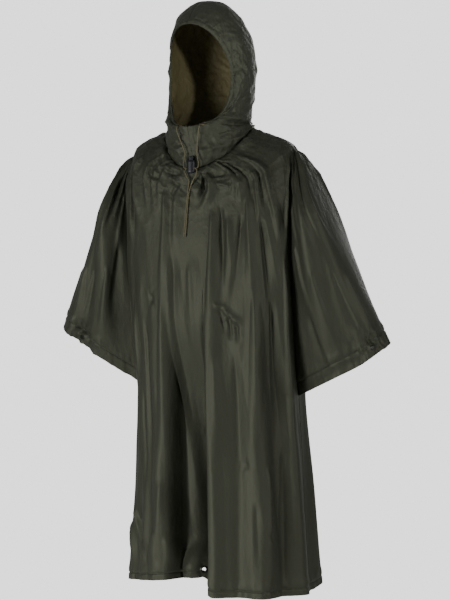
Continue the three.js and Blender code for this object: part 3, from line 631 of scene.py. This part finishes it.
BACK_PUCKERS = [(160, -440, 26, 6.0, 6, 0.4), (204, -436, 26, 6.0, 5, 1.2), (180, -800, 16, 2.8, 5, 2.0)]


def body_relief(angle, z, neck_down, table, drawn, seed):
    """All the small relief of a panel, in mm: the creases in the table, the points where it is drawn in, the
    crumples under the neck seam and at the shoulders, and the faint ripple of thin cloth all over."""
    x = angle * MM_PER_DEGREE
    lift = creases(x, z, [(a * MM_PER_DEGREE, b, c * MM_PER_DEGREE, d, w, r) for a, b, c, d, w, r in table])
    lift += puckers(x, z, [(a * MM_PER_DEGREE, b, *rest) for a, b, *rest in drawn])
    near = 0.5 + 0.5 * noise(x / 60, neck_down / 50, seed + 4)
    lift += 2.4 * near * bell(neck_down / 90) * crumple(x / 55, neck_down / 34, seed + 2)
    lift += 1.5 * (1 - near) * bell(neck_down / 105) * crumple(x / 26, neck_down / 17, seed + 3)
    lift += 1.3 * bell(neck_down / 120) * crinkle(x / 30, neck_down / 21, seed + 6)
    piled = 0.7 + 0.9 * noise(x / 38, 0 * x, seed + 14) + 0.5 * noise(x / 15, neck_down / 30, seed + 15)
    lift += 6 * np.maximum(0, piled) * bell((neck_down - 15) / 13)
    high = ease((z + 420) / 300)
    lift += 2.0 * high * crumple(x / 70 + z / 190, z / 120, seed + 5)
    lift += 0.6 * noise(x / 45, z / 260, seed + 8) + 0.15 * noise(x / 14, z / 120, seed + 9)
    return lift + 2.0 * (1 - high) * crumple(x / 85, z / 330, seed + 12)


def mm_below(angle):
    """Millimetres of panel for each unit of v below the chest."""
    return (chest_z(angle) - hem_at(angle)) / (1 - CHEST_AT)


def panel_grid(angles, count, back, table, drawn, seed):
    """The grid of a panel over a list of angles, its relief added along its normals and faded out at the
    seams. The rows keep their height above the hem up to 965 mm, and share the yoke above that."""
    heights = hem_rows(count, ROWS_LEVEL)
    above = np.broadcast_to(heights[:, None], (len(heights), len(angles)))
    angle = np.broadcast_to(angles, above.shape)
    hanging = 1 - above / mm_below(angle)
    yoke = np.linspace(0, 1, 46)[:-1, None] ** 0.9 * hanging[:1]
    v = np.concatenate([yoke, hanging])
    angle = np.broadcast_to(angles, v.shape)
    points = body(angle, v, back)
    edge = np.minimum(angle - angles[0], angles[-1] - angle) * MM_PER_DEGREE
    neck_down = np.cumsum(norm(np.diff(points, axis=0, prepend=points[:1]), axis=2), axis=0)
    lift = body_relief(angle, points[..., 2], neck_down, table, drawn, seed)
    lift *= ease(edge / 14) * ease(neck_down / 9)
    lift += hem_relief(angle * MM_PER_DEGREE, (1 - v) * mm_below(angle), seed + 20, HEM_DEEP)
    lift -= 0.6 * bell(edge / 2.5) + 0.3 * bell(neck_down / 2.5)
    return points, lift, angle, v


lap_columns = np.linspace(-0.4, 6.0, 25)
bed = EYELET_ANGLE + np.linspace(-1.36, 1.36, 5)
even = np.linspace(-89.95, 89.95, 190)
even = even[np.abs(even - EYELET_ANGLE) > 1.8]
front_angles = np.unique(np.round(np.concatenate([even, lap_columns, bed]), 4))
points, lift, front_angle, front_v = panel_grid(front_angles, 145, False, FRONT_CREASES, FRONT_PUCKERS, 11)
# The cloth lies flat behind the cord and round the eyelet.
by_cord = bell((front_angle + 5.5) / 3.5) * ease((points[..., 2] + 345) / 30)
lift = lerp(lift, np.minimum(lift, 0.3), by_cord)
eyelet_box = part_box("hem_eyelet")
eyelet_middle = np.array([(a + b) / 2 for a, b in zip(*eyelet_box)]) / MM
by_eyelet = np.exp(-((norm(points - eyelet_middle, axis=2) / 17) ** 4))
front = points + normals_of(points) * (lift * (1 - by_eyelet))[..., None]
# The side and shoulder seams are lapped: a narrow allowance of the front runs on under the back. Along the
# armholes it is folded inwards instead.
ALLOWANCE = {"angles": [0.4, 0.9, 1.5], "under": 1.3, "folded": [0.8, 2.5, 5]}


def allowance(side, edge, v):
    """Columns of the allowance, edge first: the back's surface, under mm further in, or the armhole's fold."""
    tucked = []
    for beyond, folded in zip(ALLOWANCE["angles"], ALLOWANCE["folded"]):
        angle = np.full(v.shape, side * (90 + beyond))
        yoke = (v < CHEST_AT)[:, None]
        inward = np.where(yoke, (0.25 * side, 0, 0.97), (side, 0, 0)) * ALLOWANCE["under"]
        lapped = body(angle, v, True) - inward
        bottom = UNDERARM_Z["left" if side > 0 else "right"]
        at_armhole = ((edge[:, 2] < SHOULDER_Z - 2) & (edge[:, 2] > bottom + 4))[:, None]
        tucked.append(np.where(at_armhole, edge - (side * folded, 0, 0), lapped))
    return np.stack(tucked, 1)


right_side, left_side = allowance(-1, front[:, 0], front_v[:, 0]), allowance(1, front[:, -1], front_v[:, -1])
front = np.concatenate([right_side[:, ::-1], front, left_side], axis=1)
# The punched hole under the eyelet: a block of the grid whose border is moved out on to a circle.
first = int(np.argmin(np.abs(front_angles - bed[0]))) + right_side.shape[1]
last = first + 4
bottom = front.shape[0] - 10
top = bottom - 4
block = front[top : bottom + 1, first : last + 1]
border = np.ones(block.shape[:2], dtype=bool)
border[1:-1, 1:-1] = False
away = block[border] - eyelet_middle
block[border] = eyelet_middle + away * EYELET_BED / norm(away, axis=1, keepdims=True)
back_angles = np.linspace(90.05, 269.95, 185)
points, lift, _, _ = panel_grid(back_angles, 130, True, BACK_CREASES, BACK_PUCKERS, 41)
back = points + normals_of(points) * lift[..., None]
for name, grid, hole, flat, area in (
    ("front", front, (top, bottom, first, last), (0.84, 1.31), 0.75),
    ("back", back, None, (0.77, 1.31), 0.72),
):
    cloth = shell(f"body_{name}", grid, BODY_THICK, False, hole)
    sewn = stitches(f"hem_stitches_{name}", [(grid[HEM_STITCHED], normals_of(grid)[HEM_STITCHED])])
    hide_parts(f"{name}_panel")
    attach(cloth, "poncho")

# The sleeves: each is one wide piece of the same nylon, from the front of the armhole round the arm to the
# back of it, with an open cuff turned 34 mm deep. They hang from the shoulder in a few long folds.
ARM = {"left": (463, 14, -520), "right": (460, 14, -480)}
SHOULDER_ROUND = {"left": (26, 1.6), "right": (44, 2.4)}
SLEEVE_FULL = 74
SLEEVE_FOLDS = [
    (0.13, 0.05, 9), (0.24, 0.045, -8), (0.35, 0.05, 7), (0.63, 0.05, 8), (0.75, 0.05, -7), (0.87, 0.05, 8),
]
# A stud's column of the CAD sleeve's grid, counted from the front, and its share of the way down.
STUDS, STUD_COLUMNS = {"left": (9, 0.965), "right": (6, 0.965)}, 26
CUFF_DROP = {"left": 0.035, "right": 0}


def sleeve(side, around, along):
    """The sleeve's surface: from the armhole's middle out to the arm's line by the sine of pi times around to
    the power 0.92, and to the front and back by its cosine, with the folds as bell curves."""
    sign = 1 if side == "left" else -1
    down = along * (1 + CUFF_DROP[side] * np.sin(2 * np.pi * np.minimum(0.5, around)))
    z = lerp(SHOULDER_Z, UNDERARM_Z[side], down**0.9)
    ninety = np.full(np.broadcast(z, around).shape, 90.0 * sign)
    front, rear = section(ninety, z, False), section(ninety, z, True)
    start = section(np.array(90.0 * sign), np.array(float(SHOULDER_Z)), False)
    x, y, tip_z = ARM[side]
    most, fade = SHOULDER_ROUND[side]
    bulge = most * (1 - np.exp(-20 * down)) * np.maximum(0, 1 - down) ** fade
    out_x, out_z = lerp(start[0], sign * x, down), lerp(SHOULDER_Z, tip_z, down)
    outer = np.stack([out_x + sign * bulge, lerp(start[1], y, down), out_z + 0.3 * bulge], -1)
    turn = np.pi * around
    full = norm(front - rear, axis=-1) / 2 + 1.7 * SLEEVE_FULL * np.sin(turn) * ease(down / 0.35)
    centre = (front + rear) / 2
    point = centre + (outer - centre) * (np.sin(turn) ** 0.92)[..., None]
    point[..., 1] -= np.cos(turn) * full
    for at, wide, rise in SLEEVE_FOLDS:
        lift = rise * ease((down - 0.12) / 0.5) * bell((around - at) / wide)
        point[..., 1] -= np.sign(0.5 - around) * lift
    return point


# Creases of a sleeve laid out flat, in mm: around from the front of the armhole, down from the shoulder,
# width, rise.
SLEEVE_CREASES = {
    "left": [
        (40, 30, 70, 210, 8, 3.4), (75, 20, 125, 250, 9, 3), (110, 40, 175, 300, 10, -3),
        (150, 30, 235, 330, 11, 3), (30, 230, 60, 430, 9, 3.6), (95, 330, 110, 560, 10, 3),
        (175, 360, 190, 590, 10, -2.6), (230, 380, 240, 600, 9, 2.4), (55, 430, 75, 590, 7, -2.6),
        (20, 90, 46, 260, 7, 3), (350, 60, 380, 330, 10, 3), (430, 40, 440, 300, 9, 3.4),
        (500, 60, 480, 280, 9, 3), (560, 50, 530, 260, 8, 3), (400, 340, 400, 570, 10, 2.8),
        (490, 360, 480, 580, 10, -2.8), (560, 300, 545, 520, 9, 3),
    ],
    "right": [
        (38, 40, 64, 190, 8, 3.6), (62, 30, 96, 260, 9, -3.4), (90, 60, 128, 330, 11, 4),
        (140, 30, 190, 300, 10, 3), (180, 60, 240, 340, 11, -2.6), (34, 240, 58, 470, 9, -3.4),
        (70, 320, 86, 560, 10, 3.6), (130, 360, 140, 580, 9, -3), (185, 380, 180, 600, 10, 3),
        (240, 400, 236, 600, 9, 2.6), (24, 100, 44, 280, 7, 3), (340, 60, 372, 320, 10, 3),
        (420, 50, 436, 300, 9, 3.2), (505, 60, 486, 290, 9, 3.2), (565, 60, 536, 260, 8, 2.8),
        (390, 350, 396, 560, 10, 2.6), (480, 350, 470, 580, 10, -2.6), (555, 310, 540, 530, 9, 3),
    ],
}
SLEEVE_WIDE = 600
SLEEVE_LONG = 620
SLEEVE_CUT = {"left": ((0.67, 0.66), 0.26), "right": ((0.69, 0.64), 0.245)}
# Heights of the rows near the edge of the cuff, close together at the edge and at the stitches.
CUFF_ROWS = np.array([0, 1.5, 4, 8, 13, 18, 23, 28, 32, 33.6, 35.3, 36.8, 39, 44, 50])[::-1, None]

for side in ("left", "right"):
    flip = side == "right"
    around = np.linspace(0, 1, 151)
    # Millimetres of sleeve for each unit of down, taken near the cuff.
    step = sleeve(side, around, np.full(151, 0.985)) - sleeve(side, around, np.full(151, 0.955))
    long = norm(step, axis=1) / 0.03
    edge_rows = 1 - CUFF_ROWS / long
    upper = np.linspace(0, 1, 130)[:-1, None] ** 1.1 * (edge_rows[:1] - 0.0002) + 0.0002
    down = np.concatenate([upper, edge_rows])
    around = np.broadcast_to(around, down.shape)
    points = sleeve(side, around, down)
    x, y = around * SLEEVE_WIDE, down * SLEEVE_LONG
    lift = creases(x, y, SLEEVE_CREASES[side])
    column, stud_down = STUDS[side]
    stud_around = lerp(0.004, 0.996, column / STUD_COLUMNS)
    stud = sleeve(side, np.array([stud_around]), np.array([stud_down]))[0]
    stud_x, stud_y = stud_around * SLEEVE_WIDE, stud_down * SLEEVE_LONG
    lift += puckers(x, y, [(stud_x, stud_y - 12, 55, 7.0, 7, 0.8)])
    by_stud = bell((x - stud_x) / 60) * bell((y - stud_y) / 42)
    lift += 3.5 * by_stud * crumple(x / 26, y / 24, 74)
    lift += 1.5 * bell((y - 30) / 90) * crumple(x / 34, y / 70, 61)
    lift += 0.8 * noise(x / 50, y / 190, 64) + 0.2 * noise(x / 15, y / 90, 65)
    lift += 1.6 * crumple(x / 130, y / 190, 66)
    edge = np.minimum(around, 1 - around) * SLEEVE_WIDE
    lift *= ease(edge / 14) * ease(y / 15)
    lift += hem_relief(x, (1 - down) * long, 70, CUFF_DEEP) - 0.9 * bell(edge / 3.5)
    lift *= 1 - np.exp(-((norm(points - stud, axis=2) / 12) ** 4))
    points = points + normals_of(points, flip) * lift[..., None]
    points[:, [0, -1], 0] += 1.5 if flip else -1.5
    cloth = shell(f"sleeve_cloth_{side}", points, 0.8, flip)
    line = points[CUFF_STITCHED], normals_of(points, flip)[CUFF_STITCHED]
    sewn = stitches(f"cuff_stitches_{side}", [line])
    flat, area = SLEEVE_CUT[side]
    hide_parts(f"sleeve_{side}")
    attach(cloth, "poncho")

# The hood: two halves sewn together over the head and down the chin, standing over the shape of a head that
# faces a little to the wearer's right. A narrow tunnel for the drawcord runs round the face opening and
# gathers the cloth beside it.
HOOD_TURN = -6
CHIN_RING = {"half": 111, "middle": -45, "front": -166, "back": 66, "low": 34, "high": 84}
CHEEK_RING = {"half": 117, "middle": -52, "back": 78, "low": 150, "high": 216}
CHEEK = (88, -106)
CROWN = {"middle": -56, "front": 144, "back": 134, "z": 200, "tall": 171, "from": -57, "to": 65}
CHIN_AT = 0.2
CHEEK_AT = 0.52
CASING_WIDE = 0.043
CASING_FROM = 0.25


def hood(sign, u, v):
    """A half of the hood: u from the face opening to the middle of the back, v from the neck seam through the
    chin ring and the cheek ring to the seam over the head. Cubic curves join the rings, and a quarter turn
    leads on to the crown."""
    turn = np.pi * u
    ahead = np.cos(turn)
    ring = neck_ring(sign * 180 * u)
    ring[..., 0] -= NECK["swing"]
    chin_y = CHIN_RING["middle"] + ahead * np.where(
        ahead > 0, CHIN_RING["front"] - CHIN_RING["middle"], CHIN_RING["middle"] - CHIN_RING["back"]
    )
    chin_z = lerp(CHIN_RING["low"], CHIN_RING["high"], (1 - ahead) / 2)
    chin = np.stack([sign * CHIN_RING["half"] * np.sin(turn), chin_y, chin_z], -1)
    first = np.arcsin(CHEEK[0] / CHEEK_RING["half"])
    round_ = lerp(first, np.pi, u)
    level = np.cos(round_)
    forward = (CHEEK_RING["middle"] - CHEEK[1]) / np.cos(first)
    backward = CHEEK_RING["back"] - CHEEK_RING["middle"]
    cheek_y = CHEEK_RING["middle"] - level * np.where(level > 0, forward, backward)
    cheek_z = lerp(CHEEK_RING["low"], CHEEK_RING["high"], (1 - level) / 2)
    cheek = np.stack([sign * CHEEK_RING["half"] * np.sin(round_), cheek_y, cheek_z], -1)
    over = np.radians(lerp(CROWN["from"], CROWN["to"], u))
    crown_y = CROWN["middle"] + np.sin(over) * np.where(over < 0, CROWN["front"], CROWN["back"])
    crown = np.stack([0 * u, crown_y, CROWN["z"] + CROWN["tall"] * np.cos(over)], -1)
    away = ease(u / 0.4)
    along = lerp(0.08, 1, away)
    lower, middle = np.clip(v / CHIN_AT, 0, 1), np.clip((v - CHIN_AT) / (CHEEK_AT - CHIN_AT), 0, 1)
    upper = np.clip((v - CHEEK_AT) / (1 - CHEEK_AT), 0, 1) * np.pi / 2
    arc = middle * np.pi / 2
    point = np.empty(ring.shape)
    for i in range(3):
        a, b, c, d = ring[..., i], chin[..., i], cheek[..., i], crown[..., i]
        neck_slope = (b - a) / CHIN_AT
        chin_slope = lerp(neck_slope, (c - a) / CHEEK_AT, away)
        cheek_slope = (d - c) * np.pi / 2 / (1 - CHEEK_AT) if i == 2 else 0 * u
        span = CHEEK_AT - CHIN_AT
        rise = (1 - np.cos(arc)) ** lerp(1.4, 1, away)
        turned = (np.sin(arc) ** lerp(0.8, 1, away), np.sin(arc) ** 1.3, rise)[i]
        share = (1 - np.cos(upper) ** 0.9, np.sin(upper) ** 2, np.sin(upper))[i]
        low = hermite(a, b, neck_slope * CHIN_AT, chin_slope * CHIN_AT, lower)
        smooth = hermite(b, c, chin_slope * span, cheek_slope * span, middle)
        mid = lerp(lerp(b, c, turned), smooth, along)
        point[..., i] = np.where(v < CHIN_AT, low, np.where(v < CHEEK_AT, mid, lerp(c, d, share)))
    return point


def turned_head(sign, points, v):
    """Keeps a half on its own side of the centre seam and turns it about the neck, less near the neck seam."""
    turn = np.radians(HOOD_TURN) * ease(v / 0.22)
    x = sign * np.maximum(sign * points[..., 0], 0) + NECK["swing"] * (1 - ease(v / 0.5))
    y = points[..., 1] - NECK["middle"]
    turned_x, turned_y = x * np.cos(turn) - y * np.sin(turn), x * np.sin(turn) + y * np.cos(turn)
    return np.stack([turned_x, NECK["middle"] + turned_y, points[..., 2]], -1)


# Creases of a half, in mm: back from the face opening, up from the neck seam, width, rise.
HOOD_CREASES = {
    1: [
        (60, 110, 190, 60, 9, 5), (80, 80, 230, 40, 8, -4), (110, 150, 250, 120, 10, 3.2),
        (12, 150, 80, 120, 7, 3), (14, 210, 90, 190, 9, 2.2), (20, 280, 110, 250, 10, 2),
        (150, 210, 290, 170, 12, 2.6), (180, 280, 310, 250, 12, 2), (20, 30, 120, 22, 6, 3),
        (130, 40, 300, 30, 7, 3.4), (40, 340, 180, 330, 12, 1.8),
    ],
    -1: [
        (60, 105, 190, 70, 9, 4.4), (90, 70, 240, 46, 8, -3.6), (110, 145, 260, 110, 10, 3.2),
        (12, 160, 80, 128, 7, 3), (16, 230, 100, 205, 9, 2.4), (160, 220, 300, 190, 12, 2.4),
        (24, 34, 120, 26, 6, 3), (140, 44, 300, 34, 7, 3.2), (50, 335, 190, 320, 12, 1.8),
    ],
}
HOOD_LONG, HOOD_TALL = 330, 400
for side, sign in (("left", 1), ("right", -1)):
    flip = side == "left"
    u_list = np.concatenate([np.linspace(0, 0.09, 22)[:-1], np.linspace(0.09, 1, 96)])
    v_list = np.linspace(0, 0.9995, 150)
    u, v = np.meshgrid(u_list, v_list)
    points = hood(sign, u, v)
    x, y = u * HOOD_LONG, v * HOOD_TALL
    lift = 0.7 * creases(x, y, HOOD_CREASES[sign])
    piled = np.maximum(0, 0.6 + 0.9 * noise(x / 34, 0 * x, 77 + sign) + 0.6 * noise(x / 14, y / 18, 79 + sign))
    lift += 5 * piled * bell((y - 19) / 13)
    lift += 1.6 * crumple(x / 36 + y / 60, y / 40, 97 + sign) * (0.5 + 0.5 * noise(x / 70, y / 70, 98 + sign))
    lift += 2.2 * bell(y / 34) * noise(x / 15, y / 24, 81 + sign)
    lift += (0.4 + 0.8 * bell(y / 90)) * crinkle(x / 26, y / 21, 101 + sign)
    lift += 1.9 * bell(y / 75) * crumple(x / 50, y / 30, 83 + sign)
    lift += 2.4 * bell((y - 62) / 46) * bell(x / 100) * crumple(x / 27, y / 25, 84 + sign)
    gathers = bell((x - 14) / 26) * ease((v - CASING_FROM) / 0.05)
    lift += gathers * (3.6 * noise(x / 60, y / 10, 86 + sign) + 1.8 * noise(x / 40, y / 5, 87 + sign))
    lift += 1.0 * noise(x / 42, y / 52, 90 + sign) + 1.5 * crumple(x / 95, y / 80, 91 + sign)
    lift *= ease((HOOD_TALL - y) / 12) * ease(y / 9) * ease((HOOD_LONG - x) / 14)
    lift *= 1 - (v < CASING_FROM) * bell(x / 12)
    lift -= 0.9 * bell((HOOD_TALL - y) / 3.5)
    tunnel = (u < CASING_WIDE * 1.25) & (v > CASING_FROM)
    lift = np.where(tunnel, 0.25 * lift, lift)
    points = points + normals_of(points, flip) * lift[..., None]
    points[-1, :, 0] = points[:, -1, 0] = 0
    cloth = shell(f"hood_cloth_{side}", turned_head(sign, points, v), 0.8, flip)
    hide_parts(f"hood_{side}")
    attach(cloth, "poncho")

    u, v = np.meshgrid(np.linspace(0, CASING_WIDE, 13), np.linspace(CASING_FROM, 0.999, 300))
    points = hood(sign, u, v)
    s = u / CASING_WIDE
    y = v * HOOD_TALL
    gather = 1.3 * noise(y / 6.5, s * 1.5, 95 + sign) + 0.6 * noise(y / 3.2, s * 2, 96 + sign)
    puff = 1.3 + (1.7 + gather) * np.sin(np.pi * s) ** 0.7
    strip = turned_head(sign, points + normals_of(points, flip) * puff[..., None], v)
    casing = shell(f"casing_{side}", strip, 0.6, flip)
    sewn = stitches(f"casing_stitches_{side}", [(strip[:, -2], normals_of(strip, flip)[:, -2])])
    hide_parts(f"hood_casing_{side}")
    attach(casing, "poncho")

# Stage: a round pale floor well below the hem, a white room, and soft studio light from large lamps.
FLOOR = {"z": -1.62, "half": 1.9, "sides": 128}
turn = np.linspace(0, 2 * np.pi, FLOOR["sides"], endpoint=False)
floor_mesh = bpy.data.meshes.new("floor")
disc = np.stack([FLOOR["half"] * np.cos(turn), FLOOR["half"] * np.sin(turn), np.full(len(turn), FLOOR["z"])], -1)
floor_mesh.from_pydata(disc.tolist(), [], [tuple(range(len(turn)))])
floor_mesh.materials.append(plain_material("pale floor", "#f4f4f3", 0.9))
floor = bpy.data.objects.new("floor", floor_mesh)
scene.collection.objects.link(floor)

# The room is dim in front of the poncho and brighter behind it, and its walls look white from everywhere.
world = bpy.data.worlds.new("white room")
world.use_nodes = True
room = world.node_tree
way = add(room, "TexCoord")
behind = {1: (-0.375, 0.927, 0.0)}
facing = add(room, "VectorMath", behind, {0: way.outputs["Generated"]}, operation="DOT_PRODUCT")
glow = {"From Min": 0.2, "From Max": 0.95, "To Min": 0.17, "To Max": 0.62}
level = add(room, "MapRange", glow, {"Value": facing.outputs["Value"]}, interpolation_type="SMOOTHSTEP")
from_camera = {0: add(room, "LightPath").outputs["Is Camera Ray"]}
seen = add(room, "Math", {1: 1.9}, from_camera, operation="MULTIPLY")
strength = add(room, "Math", None, {0: level.outputs[0], 1: seen.outputs[0]}, operation="MAXIMUM")
room.links.new(strength.outputs[0], room.nodes["Background"].inputs["Strength"])
room.nodes["Background"].inputs["Color"].default_value = (1.0, 1.0, 1.0, 1.0)
scene.world = world


def lamp(name, place, aim, size, power, cone=None):
    """A square area lamp that faces the aim, or a spotlight where its cone is given."""
    data = bpy.data.lights.new(name, "SPOT" if cone else "AREA")
    if cone:
        data.spot_size, data.spot_blend, data.shadow_soft_size = cone, 0.6, size / 2
    else:
        data.shape, data.size = "SQUARE", size
    data.energy = power
    made = bpy.data.objects.new(name, data)
    made.location = place
    away = np.array(place, float) - np.array(aim, float)
    away /= norm(away)
    made.rotation_euler = (np.arccos(away[2]), 0, np.arctan2(away[0], -away[1]))
    scene.collection.objects.link(made)


lamp("key", (-1.3, -3.2, -0.8), (0, 0, -0.6), 1.2, 158)
lamp("fill", (3.25, -1.0, 0.2), (0, 0, -0.5), 1.3, 75)
lamp("top", (0.2, -0.6, 2.6), (0, 0, 0), 2.0, 9)
lamp("back", (-0.5, 3.2, 0.6), (0, 0, -0.5), 2.4, 70)
lamp("face", (2.5, -2.3, 0.35), (-0.04, -0.1, 0.21), 0.25, 330, np.radians(7))
